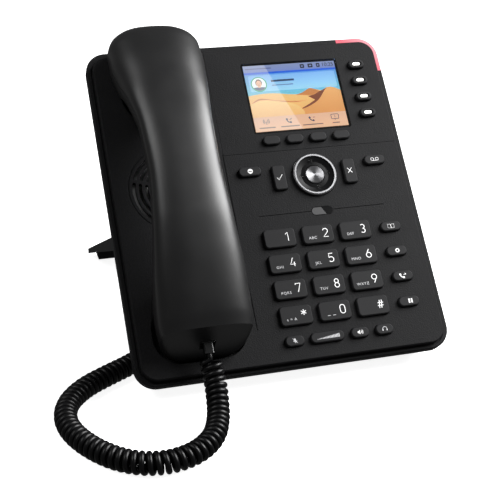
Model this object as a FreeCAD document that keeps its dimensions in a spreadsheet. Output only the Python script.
import FreeCAD, Part
import math
import os

import Sketcher

# Desk telephone: a tilted slab with keys and a display, a stand behind it, a handset in its
# cradle and a curly cord.  Millimetres, +Z up.  The origin lies on the table, under the centre
# of the phone's footprint (the cord is left out of that footprint).
#
# Most pieces are drawn in the slab's own frame: x to the right, y up the face, z out of the
# face, with z = 0 on the raised face panel and y = 0 at the slab's lower edge.

SIZES = {
    # slab
    "slab_width": 178.4,
    "slab_length": 198.0,
    "slab_radius": 12.0,
    "slab_tilt": 46.5,
    "back_depth": 26.0,
    "split_depth": 9.0,
    "rim_depth": 3.5,
    "back_draft": 22.0,
    "wall": 2.2,
    "face_thickness": 2.4,
    "foot_height": 1.2,
    "footprint_centre": 99.3,
    # raised face panel
    "panel_left": -85.9,
    "panel_right": 85.3,
    "panel_bottom": 2.6,
    "panel_top": 193.6,
    "panel_radius": 8.6,
    "panel_bevel": 0.6,
    "moat_width": 0.9,
    "moat_depth": 0.8,
    "seam_x": -20.5,
    "seam_y": 125.7,
    "seam_end": 22.3,
    "seam_width": 0.5,
    # display
    "display_x": 30.1,
    "display_y": 160.25,
    "window_width": 59.4,
    "window_height": 45.5,
    "window_radius": 1.2,
    # keys
    "key_top": 2.0,
    "key_gap": 0.35,
    "key_travel": 1.2,
    "key_bevel": 0.5,
    "flange_width": 0.8,
    "flange_top": -2.5,
    "flange_bottom": -3.7,
    "digit_left": 1.8,
    "digit_bottom": 27.4,
    "digit_pitch_x": 22.36,
    "digit_pitch_y": 15.03,
    "digit_width": 18.2,
    "digit_height": 10.8,
    "digit_radius": 2.2,
    "round_key_height": 5.6,
    "round_key_radius": 2.6,
    "nav_x": 30.5,
    "nav_y": 108.8,
    "nav_radius": 12.8,
    "nav_bore": 5.9,
    "centre_radius": 5.5,
    # handset cradle and loudspeaker grille
    "handset_x": -52.0,
    "cradle_depth": 7.0,
    "ear_y": 168.0,
    "ear_recess_radius": 20.5,
    "grille_x": -52.0,
    "grille_y": 108.7,
    "grille_radius": 21.95,
    "grille_pitch": 3.5,
    "slot_width": 1.9,
    "slot_bridge": 1.6,
    # rear bay for the sockets
    "bay_half_width": 62.0,
    "bay_bottom": 34.0,
    "bay_top": 76.0,
    "bay_depth": 12.9,
    "jack_top": -11.0,
    "board_bottom": -10.8,
    "board_thickness": 1.6,
    "mat_bottom": -9.1,
    "mat_thickness": 1.1,
    "dome_top": -5.2,
    # stand
    "stand_half_width": 84.3,
    "stand_reach": 206.0,
    "stand_slope": 26.0,
    "stand_plate": 4.0,
    # handset and cord
    "handset_wall": 2.2,
    "wire_diameter": 3.4,
    "coil_diameter": 12.0,
}


class Length:
    """A length that knows both its value in millimetres and its formula over the sheet."""

    def __init__(self, value, formula):
        self.value = float(value)
        self.formula = formula

    def __add__(self, other):
        other = length(other)
        return Length(self.value + other.value, f"({self.formula} + {other.formula})")

    def __sub__(self, other):
        other = length(other)
        return Length(self.value - other.value, f"({self.formula} - {other.formula})")

    def __rsub__(self, other):
        return length(other) - self

    def __mul__(self, factor):
        return Length(self.value * factor, f"({self.formula} * {factor})")

    def __neg__(self):
        return self * -1

    __radd__ = __add__
    __rmul__ = __mul__


def length(number):
    """Wraps a bare number as a Length."""
    if isinstance(number, Length):
        return number
    return Length(number, f"({number})")


def size(alias):
    """The sheet's cell of this name, as a Length."""
    return Length(SIZES[alias], f"Sizes.{alias}")


doc = FreeCAD.newDocument("desk_phone")
sheet = doc.addObject("Spreadsheet::Sheet", "Sizes")
for row, (alias, number) in enumerate(SIZES.items(), start=1):
    sheet.set(f"A{row}", alias)
    sheet.set(f"B{row}", str(number))
    sheet.setAlias(f"B{row}", alias)
doc.recompute()

TILT = math.radians(SIZES["slab_tilt"])
FACE_UP = FreeCAD.Vector(0, math.cos(TILT), math.sin(TILT))
FACE_OUT = FreeCAD.Vector(0, -math.sin(TILT), math.cos(TILT))

# The rear housing's lower edge, which carries the front feet, and the slab frame's height.
BACK_SPAN = SIZES["back_depth"] - SIZES["split_depth"]
BACK_INSET = BACK_SPAN * math.tan(math.radians(SIZES["back_draft"]))
EDGE_Y = BACK_INSET * FACE_UP.y - SIZES["back_depth"] * FACE_OUT.y
EDGE_Z = SIZES["foot_height"]
SLAB_Z = EDGE_Z - BACK_INSET * FACE_UP.z + SIZES["back_depth"] * FACE_OUT.z
WORLD = FreeCAD.Placement(FreeCAD.Vector(0, -SIZES["footprint_centre"], 0), FreeCAD.Rotation())
SLAB = FreeCAD.Placement(
    FreeCAD.Vector(0, -SIZES["footprint_centre"], SLAB_Z),
    FreeCAD.Rotation(FreeCAD.Vector(1, 0, 0), SIZES["slab_tilt"]),
)


def at_slab(x=0.0, y=0.0, z=0.0):
    """Placement of a piece whose own origin is at this point of the slab's frame."""
    return SLAB.multiply(FreeCAD.Placement(FreeCAD.Vector(x, y, z), FreeCAD.Rotation()))


PARTS = []


def new_body(name, placement=SLAB):
    """An empty body for one piece."""
    body = doc.addObject("PartDesign::Body", name)
    body.Label = name
    body.Placement = placement
    PARTS.append(body)
    return body


def new_piece(name, shape, placement=SLAB):
    """A piece whose shape was made by Part's own functions."""
    piece = doc.addObject("Part::Feature", name)
    piece.Label = name
    piece.Shape = shape
    piece.Placement = placement
    PARTS.append(piece)
    return piece


def sketch_on(body, plane, offset=0.0):
    """A sketch on one of the body's origin planes, moved along the plane's normal."""
    offset = length(offset)
    sketch = body.newObject("Sketcher::SketchObject", f"{body.Name}_sketch")
    support = next(item for item in body.Origin.OriginFeatures if item.Role == plane)
    sketch.AttachmentSupport = (support, [""])
    sketch.MapMode = "FlatFace"
    sketch.AttachmentOffset = FreeCAD.Placement(FreeCAD.Vector(0, 0, offset.value), FreeCAD.Rotation())
    sketch.setExpression("AttachmentOffset.Base.z", offset.formula)
    return sketch


def bind(sketch, constraint, formula):
    """Adds a dimension and ties it to the sheet."""
    index = sketch.addConstraint(constraint)
    sketch.setExpression(f"Constraints[{index}]", formula)


def place_point(sketch, geometry, point, x, y):
    """Fixes a sketch point at (x, y) from the sketch's origin."""
    bind(sketch, Sketcher.Constraint("DistanceX", -1, 1, geometry, point, x.value), x.formula)
    bind(sketch, Sketcher.Constraint("DistanceY", -1, 1, geometry, point, y.value), y.formula)


def add_circle(sketch, x, y, radius):
    """A circle with its centre at (x, y)."""
    x, y, radius = length(x), length(y), length(radius)
    centre = FreeCAD.Vector(x.value, y.value, 0)
    circle = sketch.addGeometry(Part.Circle(centre, FreeCAD.Vector(0, 0, 1), radius.value))
    place_point(sketch, circle, 3, x, y)
    bind(sketch, Sketcher.Constraint("Radius", circle, radius.value), radius.formula)


def add_outline(sketch, corners, radius=0.0):
    """A closed outline, counter-clockwise, whose corners all have the same rounding."""
    corners = [(length(x), length(y)) for x, y in corners]
    radius = length(radius)
    points = [FreeCAD.Vector(x.value, y.value, 0) for x, y in corners]
    count = len(points)
    if radius.value == 0:
        lines = [sketch.addGeometry(Part.LineSegment(points[i], points[(i + 1) % count]))
                 for i in range(count)]
        for i in range(count):
            sketch.addConstraint(Sketcher.Constraint("Coincident", lines[i - 1], 2, lines[i], 1))
            place_point(sketch, lines[i], 1, *corners[i])
        return
    starts, ends, arcs = [], [], []
    for i in range(count):
        before = (points[i - 1] - points[i]).normalize()
        after = (points[(i + 1) % count] - points[i]).normalize()
        half = before.getAngle(after) / 2
        inward = (before + after).normalize()
        centre = points[i] + inward * (radius.value / math.sin(half))
        reach = radius.value / math.tan(half)
        ends.append(points[i] + before * reach)
        starts.append(points[i] + after * reach)
        convex = before.cross(after).z < 0
        first, second = (ends[i], starts[i]) if convex else (starts[i], ends[i])
        angles = [math.atan2(p.y - centre.y, p.x - centre.x) for p in (first, second)]
        circle = Part.Circle(centre, FreeCAD.Vector(0, 0, 1), radius.value)
        arcs.append((Part.ArcOfCircle(circle, angles[0], angles[1]), convex))
    lines = [sketch.addGeometry(Part.LineSegment(starts[i], ends[(i + 1) % count])) for i in range(count)]
    for i in range(count):
        arc, convex = arcs[i]
        arc = sketch.addGeometry(arc)
        corner = sketch.addGeometry(Part.Point(points[i]), True)
        entry, leave = (1, 2) if convex else (2, 1)
        sketch.addConstraint([
            Sketcher.Constraint("Tangent", lines[i - 1], 2, arc, entry),
            Sketcher.Constraint("Tangent", arc, leave, lines[i], 1),
            Sketcher.Constraint("PointOnObject", corner, 1, lines[i - 1]),
            Sketcher.Constraint("PointOnObject", corner, 1, lines[i]),
        ])
        place_point(sketch, corner, 1, *corners[i])
        bind(sketch, Sketcher.Constraint("Radius", arc, radius.value), radius.formula)


def add_rectangle(sketch, left, bottom, right, top, radius=0.0):
    """A rectangle with its sides along the sketch's axes."""
    add_outline(sketch, [(left, bottom), (right, bottom), (right, top), (left, top)], radius)


def add_centred(sketch, x, y, width, height, radius=0.0):
    """A rectangle with its centre at (x, y)."""
    x, y, width, height = length(x), length(y), length(width), length(height)
    add_rectangle(sketch, x - width * 0.5, y - height * 0.5, x + width * 0.5, y + height * 0.5, radius)


def pad(body, sketch, depth, backwards=False, taper=0.0):
    """Raises the sketch into a solid; backwards goes against the sketch's normal."""
    depth = length(depth)
    feature = body.newObject("PartDesign::Pad", f"{body.Name}_pad")
    feature.Profile = sketch
    feature.Length = depth.value
    feature.setExpression("Length", depth.formula)
    feature.Reversed = backwards
    if taper:
        feature.TaperAngle = taper
    sketch.Visibility = False
    return feature


def pocket(body, sketch, depth, forwards=False, taper=0.0):
    """Cuts the sketch out of the body; forwards goes along the sketch's normal."""
    depth = length(depth)
    feature = body.newObject("PartDesign::Pocket", f"{body.Name}_pocket")
    feature.Profile = sketch
    feature.Length = depth.value
    feature.setExpression("Length", depth.formula)
    feature.Reversed = forwards
    if taper:
        feature.TaperAngle = taper
    sketch.Visibility = False
    return feature


def revolve(body, corners):
    """Turns a closed outline in the body's XZ plane about the body's Z axis."""
    sketch = sketch_on(body, "XZ_Plane")
    add_outline(sketch, corners)
    feature = body.newObject("PartDesign::Revolution", f"{body.Name}_turn")
    feature.Profile = sketch
    feature.ReferenceAxis = (sketch, ["V_Axis"])
    feature.Angle = 360
    sketch.Visibility = False
    return feature


def bevel_at(body, feature, height, amount, kind="Chamfer"):
    """Chamfers or rounds every edge of the feature that lies at this height."""
    doc.recompute()
    names = [f"Edge{index}" for index, edge in enumerate(feature.Shape.Edges, start=1)
             if all(abs(vertex.Z - height) < 1e-4 for vertex in edge.Vertexes)]
    amount = length(amount)
    cut = body.newObject(f"PartDesign::{kind}", f"{body.Name}_{kind.lower()}")
    cut.Base = (feature, names)
    name = "Size" if kind == "Chamfer" else "Radius"
    setattr(cut, name, amount.value)
    cut.setExpression(name, amount.formula)
    return cut


# ---------------------------------------------------------------- keys

ROUND = ("round_key_height", "round_key_radius")


def key_table():
    """Every push key: name, centre x, centre y, width, height, corner radius."""
    keys = []
    digits = [["star", "zero", "hash"], ["seven", "eight", "nine"], ["four", "five", "six"],
              ["one", "two", "three"]]
    height, radius = (size(alias) for alias in ROUND)
    for row in range(4):
        y = size("digit_bottom") + size("digit_pitch_y") * row
        for column in range(3):
            x = size("digit_left") + size("digit_pitch_x") * column
            keys.append((f"key_{digits[row][column]}", x, y, size("digit_width"),
                         size("digit_height"), size("digit_radius")))
        name = ["hold", "transfer", "settings", "directory"][row]
        keys.append((f"key_{name}", length(68.1), y, length(12.0), height, radius))
    for index, x in enumerate((9.3, 23.4, 37.6, 51.8), start=1):
        keys.append((f"soft_key_{index}", length(x), length(132.2), length(9.9), length(5.3), length(2.4)))
    for index in range(4):
        y = length(177.5 - 10.8 * index)
        keys.append((f"line_key_{index + 1}", length(71.5), y, length(9.4), length(5.3), length(2.4)))
    keys.append(("key_mute", length(-1.8), length(13.4), length(10.5), height, radius))
    keys.append(("key_speaker", length(35.6), length(13.4), length(10.0), height, radius))
    keys.append(("key_headset", length(50.0), length(13.4), length(10.0), height, radius))
    keys.append(("key_do_not_disturb", length(-7.3), length(114.0), length(13.0), height, radius))
    keys.append(("key_voicemail", length(68.2), length(114.5), length(12.4), height, radius))
    keys.append(("key_confirm", length(9.2), length(108.7), length(7.3), length(15.0), length(1.7)))
    keys.append(("key_cancel", length(51.6), length(109.0), length(7.3), length(15.0), length(1.7)))
    return keys


KEYS = key_table()
ROCKER = (length(16.8), length(13.4), length(19.0), size("round_key_height"), size("round_key_radius"))
UPPER_KEYS = [key for key in KEYS if key[0].startswith(("soft", "line"))]
LOWER_KEYS = [key for key in KEYS if key not in UPPER_KEYS]


def make_key(name, x, y, width, height, radius, drop=0.0):
    """A key cap with a bevelled top and a flange that keeps it behind the face.

    The flange lies lower by the drop, for a cap that tilts.
    """
    body = new_body(name, at_slab(x.value, y.value))
    cap_sketch = sketch_on(body, "XY_Plane", size("flange_top") - drop)
    add_centred(cap_sketch, 0, 0, width, height, radius)
    cap = pad(body, cap_sketch, size("key_top") - size("flange_top") + drop)
    bevel_at(body, cap, SIZES["key_top"], size("key_bevel"))
    flange_sketch = sketch_on(body, "XY_Plane", size("flange_bottom") - drop)
    grown = size("flange_width") * 2
    add_centred(flange_sketch, 0, 0, width + grown, height + grown, radius + size("flange_width"))
    pad(body, flange_sketch, size("flange_top") - size("flange_bottom"))
    return body


def make_line_key(key):
    """A line key: its top is dished for the lens that lights up."""
    body = make_key(*key)
    dish = sketch_on(body, "XY_Plane", size("key_top"))
    add_centred(dish, 0, 0, 6.6, 2.9, 1.4)
    pocket(body, dish, 0.6)
    return body


def make_rocker(x, y, width, height, radius):
    """The volume rocker: a long cap on a cylindrical pivot rib that lies across it."""
    body = make_key("volume_rocker", x, y, width, height, radius, drop=0.6)
    rib = sketch_on(body, "XZ_Plane", 0)
    add_circle(rib, 0, size("flange_bottom") - 0.6, 0.8)
    feature = pad(body, rib, height)
    feature.Midplane = True
    return body


def make_navigation():
    """The four-way ring, the pivot it rocks on, and the button in its middle."""
    centre = at_slab(SIZES["nav_x"], SIZES["nav_y"])
    outer, bore = SIZES["nav_radius"], SIZES["nav_bore"]
    ring = new_body("navigation_ring", centre)
    revolve(ring, [(bore + 1.0, -4.0), (outer + 1.0, -4.0), (outer + 1.0, -3.1), (outer, -3.1), (outer, 1.6),
                   (outer - 0.6, 2.2), (outer - 1.4, 2.2), (outer - 2.0, 1.5), (bore + 2.2, 0.6),
                   (bore, 0.9), (bore, -1.6), (bore + 1.0, -1.6)])
    pivot = new_body("navigation_pivot", centre)
    revolve(pivot, [(0, -5.7), (3.2, -5.7), (3.2, -4.7), (0, -4.7)])
    for plane in ("XZ_Plane", "YZ_Plane"):
        axle = sketch_on(pivot, plane)
        add_circle(axle, 0, -5.2, 0.6)
        feature = pad(pivot, axle, 10.0)
        feature.Midplane = True
    button = new_body("centre_button", centre)
    radius = SIZES["centre_radius"]
    revolve(button, [(0, -3.2), (bore + 0.6, -3.2), (bore + 0.6, -1.9), (radius, -1.9), (radius, 1.0),
                     (radius - 0.4, 1.4), (0, 1.2)])


# ---------------------------------------------------------------- slab

HOOK_X = -40.0
HOOK_Y = 26.0
HOOK_RADIUS = 3.0
SCREWS = [(-74.0, 70.0), (-30.0, 150.0), (62.0, 14.0), (77.0, 95.0)]

# The mouthpiece recess follows the handset's lower end and narrows up the face.
CRADLE = [(-25.6, 9.6), (25.8, 9.6), (25.8, 30.0), (20.0, 60.0), (-20.0, 60.0), (-25.6, 30.0)]
CRADLE_RADIUS = 15.0


def cradle_corners(grow):
    """The mouthpiece recess's corners, each moved outwards."""
    signs = [(-1, -1), (1, -1), (1, 0), (1, 1), (-1, 1), (-1, 0)]
    return [(size("handset_x") + x + sx * grow, length(y) + sy * grow)
            for (x, y), (sx, sy) in zip(CRADLE, signs)]


def panel_outline(sketch, grow=0.0):
    """The raised panel's outline, grown by an amount on every side."""
    grow = length(grow)
    add_rectangle(sketch, size("panel_left") - grow, size("panel_bottom") - grow, size("panel_right") + grow,
                  size("panel_top") + grow, size("panel_radius") + grow)


def add_slab_outline(sketch, inset=0.0):
    """The slab's outline, moved inwards by an amount on every side."""
    half = size("slab_width") * 0.5 - inset
    add_rectangle(sketch, -half, length(inset), half, size("slab_length") - inset,
                  size("slab_radius") - inset)


def cut_key_openings(body, keys):
    """Openings for the keys through a face plate."""
    grown = size("key_gap") * 2
    for start in range(0, len(keys), 6):
        sketch = sketch_on(body, "XY_Plane", 0)
        for _, x, y, width, height, radius in keys[start:start + 6]:
            add_centred(sketch, x, y, width + grown, height + grown, radius + size("key_gap"))
        pocket(body, sketch, size("face_thickness") + 0.2)


GRILLE_TURN = 73.0


def cut_grille(body):
    """Concentric arc slots over the loudspeaker, in four sectors, and a shallow groove round them."""
    groove = sketch_on(body, "XY_Plane", 0)
    for radius in (24.6, 25.4):
        add_circle(groove, size("grille_x"), size("grille_y"), radius)
    pocket(body, groove, 0.3)
    sketch = sketch_on(body, "XY_Plane", 0)
    sketch.AttachmentOffset = FreeCAD.Placement(
        FreeCAD.Vector(SIZES["grille_x"], SIZES["grille_y"], 0), FreeCAD.Rotation())
    half_width = SIZES["slot_width"] / 2
    for ring in range(6):
        middle = SIZES["grille_radius"] - SIZES["grille_pitch"] * ring
        spare = (SIZES["slot_bridge"] / 2 + half_width) / middle
        first = math.radians(GRILLE_TURN) + spare
        last = math.radians(GRILLE_TURN + 90) - spare
        up = FreeCAD.Vector(0, 0, 1)
        middle_circle = Part.Circle(FreeCAD.Vector(0, 0, 0), up, middle)
        inner = Part.Circle(FreeCAD.Vector(0, 0, 0), up, middle - half_width)
        outer = Part.Circle(FreeCAD.Vector(0, 0, 0), up, middle + half_width)
        caps = [Part.Circle(middle_circle.value(angle), up, half_width) for angle in (first, last)]
        sketch.addGeometry([
            Part.ArcOfCircle(inner, first, last),
            Part.ArcOfCircle(outer, first, last),
            Part.ArcOfCircle(caps[0], first + math.pi, first + 2 * math.pi),
            Part.ArcOfCircle(caps[1], last, last + math.pi),
        ])
    slots = pocket(body, sketch, size("face_thickness") + 0.2)
    doc.recompute()
    pattern = body.newObject("PartDesign::PolarPattern", "grille_pattern")
    pattern.Originals = [slots]
    pattern.Axis = (sketch, ["N_Axis"])
    pattern.Angle = 360
    pattern.Occurrences = 4
    body.Tip = pattern


def make_front_housing():
    """The front shell: rim, raised face, handset cradle, grille and key openings."""
    body = new_body("front_housing")
    rim = sketch_on(body, "XY_Plane", -size("split_depth"))
    add_slab_outline(rim)
    rim_pad = pad(body, rim, size("split_depth") - size("rim_depth"))
    bevel_at(body, rim_pad, -SIZES["rim_depth"], 0.8, "Fillet")
    panel = sketch_on(body, "XY_Plane", -size("rim_depth"))
    panel_outline(panel)
    panel_pad = pad(body, panel, size("rim_depth"))
    bevel_at(body, panel_pad, 0, size("panel_bevel"))

    moat = sketch_on(body, "XY_Plane", -size("rim_depth"))
    panel_outline(moat)
    panel_outline(moat, size("moat_width"))
    pocket(body, moat, size("moat_depth"))

    hollow = sketch_on(body, "XY_Plane", -size("split_depth"))
    panel_outline(hollow, -size("wall"))
    add_outline(hollow, cradle_corners(size("wall") - 0.2), CRADLE_RADIUS + 2.0)
    add_circle(hollow, size("handset_x"), size("ear_y"), size("ear_recess_radius") + size("wall"))
    pocket(body, hollow, size("split_depth") - size("face_thickness"), forwards=True)

    cradle = sketch_on(body, "XY_Plane", 0)
    add_outline(cradle, cradle_corners(length(0)), CRADLE_RADIUS)
    add_circle(cradle, size("handset_x"), size("ear_y"), size("ear_recess_radius"))
    pocket(body, cradle, size("cradle_depth"))
    well = sketch_on(body, "XY_Plane", -size("cradle_depth"))
    add_circle(well, HOOK_X, HOOK_Y, HOOK_RADIUS + 0.4)
    pocket(body, well, size("wall"))

    inlay = sketch_on(body, "XY_Plane", 0)
    add_rectangle(inlay, size("seam_x"), size("seam_y"), size("panel_right") + 1, size("panel_top") + 1)
    pocket(body, inlay, size("face_thickness") + 0.1)
    behind = sketch_on(body, "XY_Plane", 0)
    add_rectangle(behind, size("seam_x") + 2.5, size("seam_y") + 2.0, size("panel_right") - size("wall"),
                  size("panel_top") - size("wall"), 4.0)
    pocket(body, behind, size("split_depth"))

    seams = sketch_on(body, "XY_Plane", 0)
    add_rectangle(seams, size("seam_x") - size("seam_width"), size("seam_end"), size("seam_x"),
                  size("seam_y") + 0.6)
    add_rectangle(seams, -7.0, 86.85, 23.6, 87.15)
    add_rectangle(seams, 37.0, 86.85, 68.0, 87.15)
    pocket(body, seams, 0.4)

    bosses = sketch_on(body, "XY_Plane", -size("split_depth"))
    for x, y in SCREWS:
        add_circle(bosses, x, y, 3.5)
    pad(body, bosses, size("split_depth") - 2.0)
    pilots = sketch_on(body, "XY_Plane", -size("split_depth"))
    for x, y in SCREWS:
        add_circle(pilots, x, y, 1.3)
    pocket(body, pilots, 6.0, forwards=True)

    cut_key_openings(body, LOWER_KEYS + [("volume_rocker", *ROCKER)])
    round_openings = sketch_on(body, "XY_Plane", 0)
    add_circle(round_openings, size("nav_x"), size("nav_y"), size("nav_radius") + 0.4)
    add_centred(round_openings, 30.3, 86.8, 12.7, 5.2, 2.5)
    pocket(body, round_openings, size("face_thickness") + 0.2)

    lamp = sketch_on(body, "XY_Plane", -size("rim_depth"))
    add_light_bar_outline(lamp)
    pocket(body, lamp, 4.0)
    cut_grille(body)
    return body


LIGHT_BAR_X = 64.3
LIGHT_BAR_Y = 174.8


def add_light_bar_outline(sketch):
    """The stretch of the rim, round the upper right corner, that the light bar takes up."""
    right, top = SIZES["slab_width"] / 2, SIZES["slab_length"]
    outer_radius = SIZES["slab_radius"]
    inner_radius = SIZES["panel_radius"] + SIZES["moat_width"]
    inner_x = SIZES["panel_right"] + SIZES["moat_width"]
    inner_y = SIZES["panel_top"] + SIZES["moat_width"]
    up = FreeCAD.Vector(0, 0, 1)
    outer = Part.Circle(FreeCAD.Vector(right - outer_radius, top - outer_radius, 0), up, outer_radius)
    inner = Part.Circle(FreeCAD.Vector(inner_x - inner_radius, inner_y - inner_radius, 0), up, inner_radius)
    points = [(right, LIGHT_BAR_Y), (right, top - outer_radius), (right - outer_radius, top),
              (LIGHT_BAR_X, top), (LIGHT_BAR_X, inner_y), (inner_x - inner_radius, inner_y),
              (inner_x, inner_y - inner_radius), (inner_x, LIGHT_BAR_Y)]
    points = [FreeCAD.Vector(x, y, 0) for x, y in points]
    sketch.addGeometry([
        Part.LineSegment(points[0], points[1]),
        Part.ArcOfCircle(outer, 0, math.pi / 2),
        Part.LineSegment(points[2], points[3]),
        Part.LineSegment(points[3], points[4]),
        Part.LineSegment(points[4], points[5]),
        Part.ArcOfCircle(inner, 0, math.pi / 2),
        Part.LineSegment(points[6], points[7]),
        Part.LineSegment(points[7], points[0]),
    ])


def make_light_bar():
    """The translucent call lamp that wraps round the upper right corner of the rim."""
    body = new_body("light_bar")
    sketch = sketch_on(body, "XY_Plane", -size("rim_depth") - 4.0)
    add_light_bar_outline(sketch)
    feature = pad(body, sketch, 4.0)
    doc.recompute()
    right = SIZES["slab_width"] / 2
    names = [f"Edge{index}" for index, edge in enumerate(feature.Shape.Edges, start=1)
             if all(abs(vertex.Z + SIZES["rim_depth"]) < 1e-4 for vertex in edge.Vertexes)
             and max(abs(v.X - right) for v in edge.Vertexes) < 1e-4]
    rounding = body.newObject("PartDesign::Fillet", "light_bar_fillet")
    rounding.Base = (feature, names)
    rounding.Radius = 0.8
    return body


def make_display_bezel():
    """The upper right face plate, with the display window and eight key openings."""
    body = new_body("display_bezel")
    plate = sketch_on(body, "XY_Plane", -size("face_thickness"))
    panel_outline(plate)
    plate_pad = pad(body, plate, size("face_thickness"))
    bevel_at(body, plate_pad, 0, size("panel_bevel"))
    for left, bottom, right, top in (
            (size("panel_left") - 1, size("panel_bottom") - 1, size("seam_x") + 0.15, size("panel_top") + 1),
            (size("panel_left") - 1, size("panel_bottom") - 1, size("panel_right") + 1, size("seam_y") + 0.15)):
        away = sketch_on(body, "XY_Plane", 0)
        add_rectangle(away, left, bottom, right, top)
        pocket(body, away, size("face_thickness"))
    window = sketch_on(body, "XY_Plane", 0)
    add_centred(window, size("display_x"), size("display_y"), size("window_width") + 0.2,
                size("window_height") + 0.2, size("window_radius") + 0.1)
    pocket(body, window, size("face_thickness"))
    cut_key_openings(body, UPPER_KEYS)
    return body


def make_display():
    """The display's clear window and the panel module behind it."""
    window = new_body("display_window")
    sketch = sketch_on(window, "XY_Plane", -1.3)
    add_centred(sketch, size("display_x"), size("display_y"), size("window_width"), size("window_height"),
                size("window_radius"))
    pad(window, sketch, 1.2)
    module = new_body("lcd_module")
    sketch = sketch_on(module, "XY_Plane", -7.2)
    add_centred(sketch, size("display_x"), size("display_y"), size("window_width") + 3.0,
                size("window_height") + 2.6, 1.5)
    pad(module, sketch, 4.6)
    screen = sketch_on(module, "XY_Plane", -2.6)
    add_centred(screen, size("display_x"), size("display_y"), size("window_width") - 1.2,
                size("window_height") - 1.2, 1.0)
    pad(module, screen, 1.2)


def make_sensor_window():
    """The dark oblong window below the navigation ring."""
    body = new_body("sensor_window")
    sketch = sketch_on(body, "XY_Plane", -1.6)
    add_centred(sketch, 30.3, 86.8, 12.5, 5.0, 2.4)
    pad(body, sketch, 1.65)


JACKS = {"rj9": (11.2, 11.0, 16.0, 7.9, 6.8), "rj45": (16.0, 12.6, 21.0, 11.9, 8.4)}
JACK_X = {"rj9": (-45.0, -27.0), "rj45": (5.0, 24.0)}


def make_rear_housing():
    """The rear shell: drafted walls, screw posts and the recessed bay for the sockets."""
    body = new_body("rear_housing")
    span = size("back_depth") - size("split_depth")
    outer = sketch_on(body, "XY_Plane", -size("split_depth"))
    add_slab_outline(outer)
    shell = pad(body, outer, span, backwards=True, taper=-SIZES["back_draft"])
    bevel_at(body, shell, -SIZES["back_depth"], 1.5, "Fillet")
    inner = sketch_on(body, "XY_Plane", -size("split_depth"))
    add_slab_outline(inner, size("wall") * 1.1)
    pocket(body, inner, span - size("wall"), taper=-SIZES["back_draft"])

    posts = sketch_on(body, "XY_Plane", -size("back_depth"))
    for x, y in SCREWS:
        add_circle(posts, x, y, 4.4)
    pad(body, posts, span - 0.2)
    block = sketch_on(body, "XY_Plane", -size("back_depth"))
    half = size("bay_half_width")
    add_rectangle(block, -half - 2, size("bay_bottom") - 2, half + 2, size("bay_top") + 2, 4.0)
    pad(body, block, size("bay_depth") + 2)
    bay = sketch_on(body, "XY_Plane", -size("back_depth"))
    add_rectangle(bay, -half, size("bay_bottom"), half, size("bay_top"), 2.0)
    pocket(body, bay, size("bay_depth"), forwards=True)

    mouths = sketch_on(body, "XZ_Plane", -size("bay_top") + 1)
    for kind, places in JACK_X.items():
        width, height = JACKS[kind][:2]
        for x in places:
            add_rectangle(mouths, x - width / 2 - 0.2, size("jack_top") - height - 0.2,
                          x + width / 2 + 0.2, size("jack_top") + 0.2)
    pocket(body, mouths, 4.0)

    heads = sketch_on(body, "XY_Plane", -size("back_depth"))
    shanks = sketch_on(body, "XY_Plane", -size("back_depth"))
    for x, y in SCREWS:
        add_circle(heads, x, y, 2.9)
        add_circle(shanks, x, y, 1.6)
    pocket(body, heads, SCREW_HEAD_DEPTH, forwards=True)
    pocket(body, shanks, span, forwards=True)
    return body


SCREW_HEAD_DEPTH = 10.0
SCREW_HEAD = 1.8
SCREW_LENGTH = 12.0


def make_screws():
    """Four identical housing screws, driven in from the back."""
    shapes = []
    for x, y in SCREWS:
        seat = -SIZES["back_depth"] + SCREW_HEAD_DEPTH
        base = FreeCAD.Vector(x, y, seat - SCREW_HEAD)
        head = Part.makeCylinder(2.6, SCREW_HEAD, base)
        recess = Part.makeBox(3.0, 0.8, 1.0, FreeCAD.Vector(x - 1.5, y - 0.4, base.z))
        cross = Part.makeBox(0.8, 3.0, 1.0, FreeCAD.Vector(x - 0.4, y - 1.5, base.z))
        shank = Part.makeCylinder(1.2, SCREW_LENGTH, FreeCAD.Vector(x, y, seat))
        shapes.append(head.cut([recess, cross]).fuse(shank).removeSplitter())
    new_piece("housing_screws", Part.Compound(shapes))


def make_boards():
    """The circuit board and the rubber key mat that lies over it."""
    board = new_body("main_board")
    sketch = sketch_on(board, "XY_Plane", size("board_bottom"))
    add_outline(sketch, [(-18, 7), (75.5, 7), (75.5, 188), (-18, 188), (-18, 90.5), (-62, 90.5), (-62, 16),
                         (-18, 16)])
    pad(board, sketch, size("board_thickness"))
    chips = sketch_on(board, "XY_Plane", size("board_bottom") - 1.8)
    for x, y, width, height in ((35, 130, 16, 16), (58, 128, 12, 14), (10, 150, 14, 22), (45, 160, 8, 10)):
        add_centred(chips, x, y, width, height)
    pad(board, chips, 1.8)
    fork = sketch_on(board, "XY_Plane", size("board_bottom") - 4.0)
    for side in (-1, 1):
        add_centred(fork, HOOK_X + side * (HOOK_RADIUS + 2.4), HOOK_Y, 3.0, 5.0)
    pad(board, fork, 4.0)
    drill(board, size("board_bottom") - 1.8, SCREWS, 4.7)
    drill(board, size("board_bottom") - 1.0, [(HOOK_X, HOOK_Y)], HOOK_RADIUS + 0.6)

    mat = new_body("keypad_mat")
    sketch = sketch_on(mat, "XY_Plane", size("mat_bottom"))
    add_outline(sketch, [(-16, 8), (75, 8), (75, 183), (66.4, 183), (66.4, 136), (-16, 136)])
    pad(mat, sketch, size("mat_thickness"))
    sheet_top = size("mat_bottom") + size("mat_thickness")
    for start in range(0, len(KEYS), 8):
        domes = sketch_on(mat, "XY_Plane", sheet_top)
        for _, x, y, width, height, _ in KEYS[start:start + 8]:
            add_circle(domes, x, y, 2.2)
        pad(mat, domes, size("dome_top") - sheet_top)
    drill(mat, size("mat_bottom") - 0.1, SCREWS, 4.7)


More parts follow.
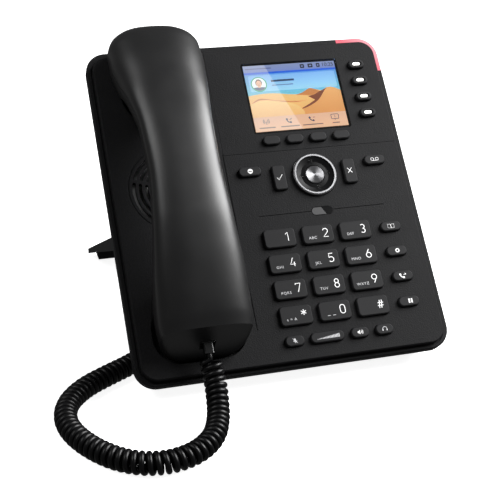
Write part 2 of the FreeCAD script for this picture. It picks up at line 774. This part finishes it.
def drill(body, height, places, radius):
    """Round holes for what passes through a board or mat."""
    sketch = sketch_on(body, "XY_Plane", height)
    for x, y in places:
        add_circle(sketch, x, y, radius)
    pocket(body, sketch, 5.0, forwards=True)


def make_loudspeaker():
    """The loudspeaker under the grille: basket, cone and magnet as one bought unit."""
    body = new_body("loudspeaker", at_slab(SIZES["grille_x"], SIZES["grille_y"]))
    revolve(body, [(0, -16.0), (11.0, -16.0), (11.0, -11.0), (14.0, -10.5), (21.5, -5.0), (23.5, -5.0),
                   (23.5, -2.8), (20.5, -2.8), (8.0, -6.5), (0, -5.0)])


def make_jack_group(kind, name):
    """Two identical modular sockets, their mouths facing down the slab."""
    width, height, depth, mouth_width, mouth_height = JACKS[kind]
    shapes = []
    for x in JACK_X[kind]:
        corner = FreeCAD.Vector(x - width / 2, SIZES["bay_top"], SIZES["jack_top"] - height)
        block = Part.makeBox(width, depth, height, corner)
        middle = SIZES["jack_top"] - height / 2
        mouth = Part.makeBox(mouth_width, depth - 4.0, mouth_height,
                             FreeCAD.Vector(x - mouth_width / 2, SIZES["bay_top"], middle - mouth_height / 2))
        latch = Part.makeBox(3.6, depth - 6.0, 1.6,
                             FreeCAD.Vector(x - 1.8, SIZES["bay_top"], middle - mouth_height / 2 - 1.5))
        shapes.append(block.cut([mouth, latch]))
    new_piece(name, Part.Compound(shapes))


# ---------------------------------------------------------------- hook

def make_hook():
    """The plunger that the handset holds down, in its own well."""
    body = new_body("hook_plunger", at_slab(HOOK_X, HOOK_Y))
    revolve(body, [(0, -14.0), (HOOK_RADIUS, -14.0), (HOOK_RADIUS, -7.0), (HOOK_RADIUS - 0.9, -6.1), (0, -5.9)])


# ---------------------------------------------------------------- stand and feet

STAND_GAP = 0.1
STAND_TIP = (1.6, 5.2)
RIB_DEPTH = 6.0
FOOT_BAR_HALF_WIDTH = 79.0


def meets_slab(level):
    """Where a line of the plate's slope, this high at the stand's tip, reaches the slab's back."""
    slope = math.tan(math.radians(SIZES["stand_slope"]))
    rise = math.tan(TILT)
    reach = SIZES["stand_reach"]
    y = (level + reach * slope + EDGE_Y * rise - EDGE_Z + STAND_GAP) / (rise + slope)
    return y, level + (reach - y) * slope


def make_stand():
    """The foot stand: a sloping plate with a window, two edge ribs and a foot bar."""
    slope = math.tan(math.radians(SIZES["stand_slope"]))
    reach = SIZES["stand_reach"]
    under, top = STAND_TIP
    high, low, rib_low = meets_slab(top), meets_slab(under), meets_slab(under - RIB_DEPTH)
    bar = reach - 9.5
    body = new_body("stand", WORLD)
    plate = sketch_on(body, "YZ_Plane")
    add_outline(plate, [(reach, under), (reach, top), high, low])
    plate_pad = pad(body, plate, size("stand_half_width") * 2)
    plate_pad.Midplane = True
    foot_bar = sketch_on(body, "YZ_Plane")
    add_outline(foot_bar, [(bar, under), (reach, under), (reach, under + 1),
                           (bar, under + 1 + (reach - bar) * slope)])
    bar_pad = pad(body, foot_bar, FOOT_BAR_HALF_WIDTH * 2)
    bar_pad.Midplane = True
    for side in (-1, 1):
        rib = sketch_on(body, "YZ_Plane", size("stand_half_width") * side)
        add_outline(rib, [(reach - 4, under + 4 * slope), (reach - 4, under + 5 * slope), low, rib_low])
        pad(body, rib, 3.0, backwards=side > 0)
    window = sketch_on(body, "XY_Plane", 0)
    add_rectangle(window, -50, high[0] + 24, 50, bar - 22, 8.0)
    pocket(body, window, 80.0, forwards=True)


def make_feet():
    """Rubber pads: two under the slab's lower edge and two under the stand's foot bar."""
    rise = math.tan(TILT)
    back_run = 4.0
    front_run = 3.0
    wall_rise = (BACK_SPAN * FACE_OUT.z - BACK_INSET * FACE_UP.z) / (
        -BACK_SPAN * FACE_OUT.y + BACK_INSET * FACE_UP.y)
    profile = [(EDGE_Y - front_run, 0), (EDGE_Y + back_run, 0), (EDGE_Y + back_run, EDGE_Z + back_run * rise),
               (EDGE_Y, EDGE_Z), (EDGE_Y - front_run, EDGE_Z + front_run * wall_rise)]
    reach = SIZES["stand_reach"]
    stand_profile = [(reach - 8.5, 0), (reach - 1.5, 0), (reach - 1.5, 1.6), (reach - 8.5, 1.6)]
    shapes = []
    for x in (-66.0, 48.0):
        shapes.append(prism(profile, x, 18.0))
    for x in (-78.5, 63.5):
        shapes.append(prism(stand_profile, x, 15.0))
    new_piece("rubber_feet", Part.Compound(shapes), WORLD)


def prism(profile, x, width):
    """A prism along X from a closed profile in the YZ plane."""
    corners = [FreeCAD.Vector(x, y, z) for y, z in profile]
    face = Part.Face(Part.makePolygon(corners + corners[:1]))
    return face.extrude(FreeCAD.Vector(width, 0, 0))


# ---------------------------------------------------------------- handset

# Stations along the handset, in the slab's frame: distance up the face, half width, height of
# the underside, of the parting line and of the back.
STATIONS = [
    (28.0, 25.0, -5.5, 18.0, 32.5),
    (45.0, 24.3, -3.0, 24.0, 37.5),
    (62.0, 22.6, 8.5, 30.0, 41.5),
    (80.0, 20.8, 18.0, 34.5, 44.3),
    (105.0, 19.0, 22.5, 37.0, 45.5),
    (130.0, 19.5, 21.0, 36.0, 44.0),
    (150.0, 22.0, 13.0, 30.0, 40.5),
    (165.0, 24.5, 2.5, 20.0, 37.0),
    (178.0, 26.0, 0.6, 14.0, 33.0),
    (188.0, 26.0, 0.6, 11.0, 29.0),
]
TOP_END = [
    (188.0, 26.0, 0.6, 11.0, 29.0),
    (194.0, 24.0, 0.6, 9.5, 26.2),
    (199.0, 19.0, 0.8, 7.0, 22.0),
    (202.0, 12.5, 1.5, 5.0, 15.0),
]
BOTTOM_END = [
    (11.0, 14.0, -4.5, -1.0, 1.0),
    (13.5, 19.5, -5.3, 4.5, 9.0),
    (16.5, 22.6, -5.5, 11.0, 18.5),
    (20.0, 24.2, -5.5, 17.0, 29.0),
    (28.0, 25.0, -5.5, 18.0, 32.5),
]


def section(station, inset, upper):
    """The handset's cross-section at one station, above or below its parting line.

    An inset one is for the hollow, so it reaches 1 mm past the parting line.
    """
    y, half_width, under, parting, back = station
    half = half_width - inset
    outer = back - inset if upper else under + inset
    power = 2.7 if upper else 3.6
    points = []
    for step in range(9):
        angle = math.pi * step / 8
        across = math.copysign(abs(math.cos(angle)) ** (2 / power), math.cos(angle))
        height = math.sin(angle) ** (2 / power)
        points.append(FreeCAD.Vector(half * across, y, parting + (outer - parting) * height))
    curve = Part.BSplineCurve()
    curve.interpolate(points)
    corners = [points[-1], points[0]]
    if inset:
        beyond = FreeCAD.Vector(0, 0, -1.0 if upper else 1.0)
        corners[1:1] = [points[-1] + beyond, points[0] + beyond]
    lines = [Part.makeLine(start, end) for start, end in zip(corners, corners[1:])]
    return Part.Wire([curve.toShape()] + lines)


def half_solid(inset, upper):
    """One half of the handset, above or below the parting line, shrunk by an inset."""
    pieces = []
    for stations, ruled in ((BOTTOM_END, True), (STATIONS, False), (TOP_END, True)):
        if inset:
            stations = shortened(stations, inset)
        wires = [section(station, inset, upper) for station in stations]
        pieces.append(Part.makeLoft(wires, True, ruled))
    return pieces[0].fuse(pieces[1:])


def shortened(stations, inset):
    """The stations with the outermost end of the handset pulled in by the wall."""
    result = list(stations)
    for index, (y, *rest) in enumerate(result):
        if y < 20.0:
            result[index] = (y + inset * (28.0 - y) / 17.0, *rest)
        if y > 188.0:
            result[index] = (y - inset * (y - 188.0) / 14.0, *rest)
    return result


SOCKET_Z = 13.0
EAR_BOSS_RADIUS = 18.5


def make_handset():
    """The handset: two shells, receiver, microphone and the socket for the cord."""
    wall = SIZES["handset_wall"]
    place = at_slab(SIZES["handset_x"])
    up = FreeCAD.Vector(0, 0, 1)
    upper = half_solid(0, True).cut(half_solid(wall, True))
    lower = half_solid(0, False)
    ear = FreeCAD.Vector(0, SIZES["ear_y"], -4.0)
    boss = Part.makeCylinder(EAR_BOSS_RADIUS, 12.0, ear, up)
    lower = lower.fuse(boss.cut(half_solid(0, True)))
    inner = half_solid(wall, False)
    inner = inner.fuse(Part.makeCylinder(EAR_BOSS_RADIUS - 2.0, 10.0, ear + up * 2.0, up))
    lower = lower.cut(inner)
    holes = []
    for step in range(6):
        turn = math.radians(60 * step)
        holes.append(Part.makeCylinder(1.1, 6.0, ear + FreeCAD.Vector(6 * math.cos(turn), 6 * math.sin(turn), -1)))
    holes.append(Part.makeCylinder(1.1, 6.0, ear - up))
    holes.append(Part.makeBox(1.2, 6.0, 5.0, FreeCAD.Vector(-0.6, 24.0, -7.0)))
    lower = lower.cut(holes)
    mouth = Part.makeBox(8.4, 16.0, 6.8, FreeCAD.Vector(-4.2, 6.0, SOCKET_Z - 3.4))
    new_piece("handset_upper_shell", upper.cut(mouth), place)
    new_piece("handset_lower_shell", lower.cut(mouth), place)

    block = Part.makeBox(11.0, 14.0, 9.4, FreeCAD.Vector(-5.5, 20.4, SOCKET_Z - 4.7))
    bore = Part.makeBox(8.0, 9.0, 6.4, FreeCAD.Vector(-4.0, 20.4, SOCKET_Z - 3.2))
    new_piece("handset_socket", block.cut(bore), place)
    receiver = new_body("receiver_capsule", at_slab(SIZES["handset_x"], SIZES["ear_y"]))
    revolve(receiver, [(0, -1.8), (14.5, -1.8), (14.5, 2.2), (9.0, 4.2), (0, 4.2)])
    microphone = new_body("microphone", at_slab(SIZES["handset_x"], 27.0))
    revolve(microphone, [(0, -3.1), (4.8, -3.1), (4.8, -0.6), (0, -0.6)])


# ---------------------------------------------------------------- cord

def smooth_path(points):
    """Straight runs joined by the largest tangent arcs that fit; prints the smallest radius."""
    vectors = [FreeCAD.Vector(*point) for point in points]
    edges = []
    radii = []
    start = vectors[0]
    for before, corner, after in zip(vectors, vectors[1:], vectors[2:]):
        into = (before - corner).normalize()
        out = (after - corner).normalize()
        reach = 0.45 * min((before - corner).Length, (after - corner).Length)
        half_turn = (math.pi - into.getAngle(out)) / 2
        radius = reach / math.tan(half_turn)
        radii.append(radius)
        middle = corner + (into + out).normalize() * (radius / math.cos(half_turn) - radius)
        first, last = corner + into * reach, corner + out * reach
        edges.append(Part.LineSegment(start, first).toShape())
        edges.append(Part.Arc(first, middle, last).toShape())
        start = last
    edges.append(Part.LineSegment(start, vectors[-1]).toShape())
    return Part.Wire(edges), radii


def tube(points, diameter):
    """A round solid of this diameter along the route."""
    path, radii = smooth_path(points)
    direction = FreeCAD.Vector(*points[1]) - FreeCAD.Vector(*points[0])
    circle = Part.Circle(FreeCAD.Vector(*points[0]), direction, diameter / 2)
    profile = Part.Wire([circle.toShape()])
    solid = path.makePipeShell([profile], True, False)
    expected = math.pi * diameter ** 2 / 4 * path.Length
    print(f"tube {diameter} mm: length {path.Length:.1f}, smallest radius {min(radii):.1f},",
          f"volume ratio {solid.Volume / expected:.4f}")
    print("  radii", " ".join(f"{radius:.0f}" for radius in radii))
    return solid


# The curly cord's centre line, on the table but for its start on the slab's lower border.
COIL_ROUTE = [
    (-51.7, -104.37, 26.79), (-50.8, -109.4, 18.6), (-51.8, -118.4, 11.8), (-54.2, -129.0, 7.4),
    (-60.0, -142.5, 6.3), (-72.5, -153.6, 6.2), (-90.0, -157.0, 6.2), (-107.0, -149.5, 6.2),
    (-120.5, -132.5, 6.2), (-128.2, -112.5, 6.2), (-126.3, -93.5, 6.2), (-115.0, -78.0, 6.2),
    (-99.0, -67.5, 6.2), (-83.0, -58.0, 6.2), (-70.0, -46.5, 6.2),
]
# Each lead's ends stand 0.05 mm off the coil and the plug that they run into.
HANDSET_LEAD = [
    (-52.0, -102.02, 30.14), (-52.0, -102.95, 29.16), (-51.82, -103.69, 27.89), (-51.7, -104.34, 26.83),
]
BASE_LEAD = [
    (-69.96, -46.47, 6.2), (-62.5, -39.87, 6.2), (-52.0, -31.0, 6.2), (-42.0, -29.5, 11.0),
    (-38.0, -40.07, 21.32), (-41.0, -49.43, 27.45), (-45.0, -52.64, 39.32), (-45.0, -45.79, 46.53),
]


def make_cord():
    """The curly cord: one fat tube for the coil, and the straight lead at each of its ends."""
    none = FreeCAD.Placement()
    new_piece("cord_coil", tube(COIL_ROUTE, SIZES["coil_diameter"]), none)
    leads = [tube(HANDSET_LEAD, SIZES["wire_diameter"]), tube(BASE_LEAD, SIZES["wire_diameter"])]
    new_piece("cord_leads", Part.Compound(leads), none)


PLUG_TAIL = 5.6


def make_plug(name, placement):
    """A modular plug: its body and the strain relief at its tail; the wire leaves towards -Y."""
    body = new_body(name, placement)
    sketch = sketch_on(body, "XZ_Plane", 0)
    add_rectangle(sketch, -3.8, -2.9, 3.8, 2.9, 0.4)
    pad(body, sketch, 11.0, backwards=True)
    tail = sketch_on(body, "XZ_Plane", 0)
    add_rectangle(tail, -2.6, -2.1, 2.6, 2.1, 0.8)
    pad(body, tail, PLUG_TAIL)


def make_plugs():
    """The cord's two plugs, in the handset's socket and in the left rear socket."""
    make_plug("cord_plug_handset", at_slab(SIZES["handset_x"], 15.4, SOCKET_Z))
    height = JACKS["rj9"][1]
    make_plug("cord_plug_base", at_slab(JACK_X["rj9"][0], 66.0, SIZES["jack_top"] - height / 2))


# ---------------------------------------------------------------- build

def check_pieces():
    """Stops if a feature failed, a cut removed nothing, or a piece isn't one valid shape."""
    for item in doc.Objects:
        if "Invalid" in item.State or "Error" in item.State:
            raise RuntimeError(f"{item.Name} failed: {item.State}")
        if item.TypeId == "PartDesign::Pocket" and item.Shape.Volume >= item.BaseFeature.Shape.Volume - 1e-6:
            raise RuntimeError(f"{item.Name} cuts nothing")
    for part in PARTS:
        if part.Shape.isNull() or not part.Shape.isValid() or not part.Shape.Solids:
            raise RuntimeError(f"{part.Label} is not a valid solid")


def main():
    """Builds every piece, checks them and writes one STEP file for each."""
    make_front_housing()
    make_display_bezel()
    make_display()
    make_sensor_window()
    make_light_bar()
    make_rear_housing()
    make_screws()
    make_boards()
    make_loudspeaker()
    make_jack_group("rj9", "handset_jacks")
    make_jack_group("rj45", "network_jacks")
    make_hook()
    make_stand()
    make_feet()
    for key in KEYS:
        if key[0].startswith("line"):
            make_line_key(key)
        else:
            make_key(*key)
    make_rocker(*ROCKER)
    make_navigation()
    make_handset()
    make_cord()
    make_plugs()
    doc.recompute()
    check_pieces()
    os.makedirs("parts", exist_ok=True)
    for part in PARTS:
        part.Shape.exportStep(f"parts/{part.Label}.step")
    print(len(PARTS), "pieces")


main()
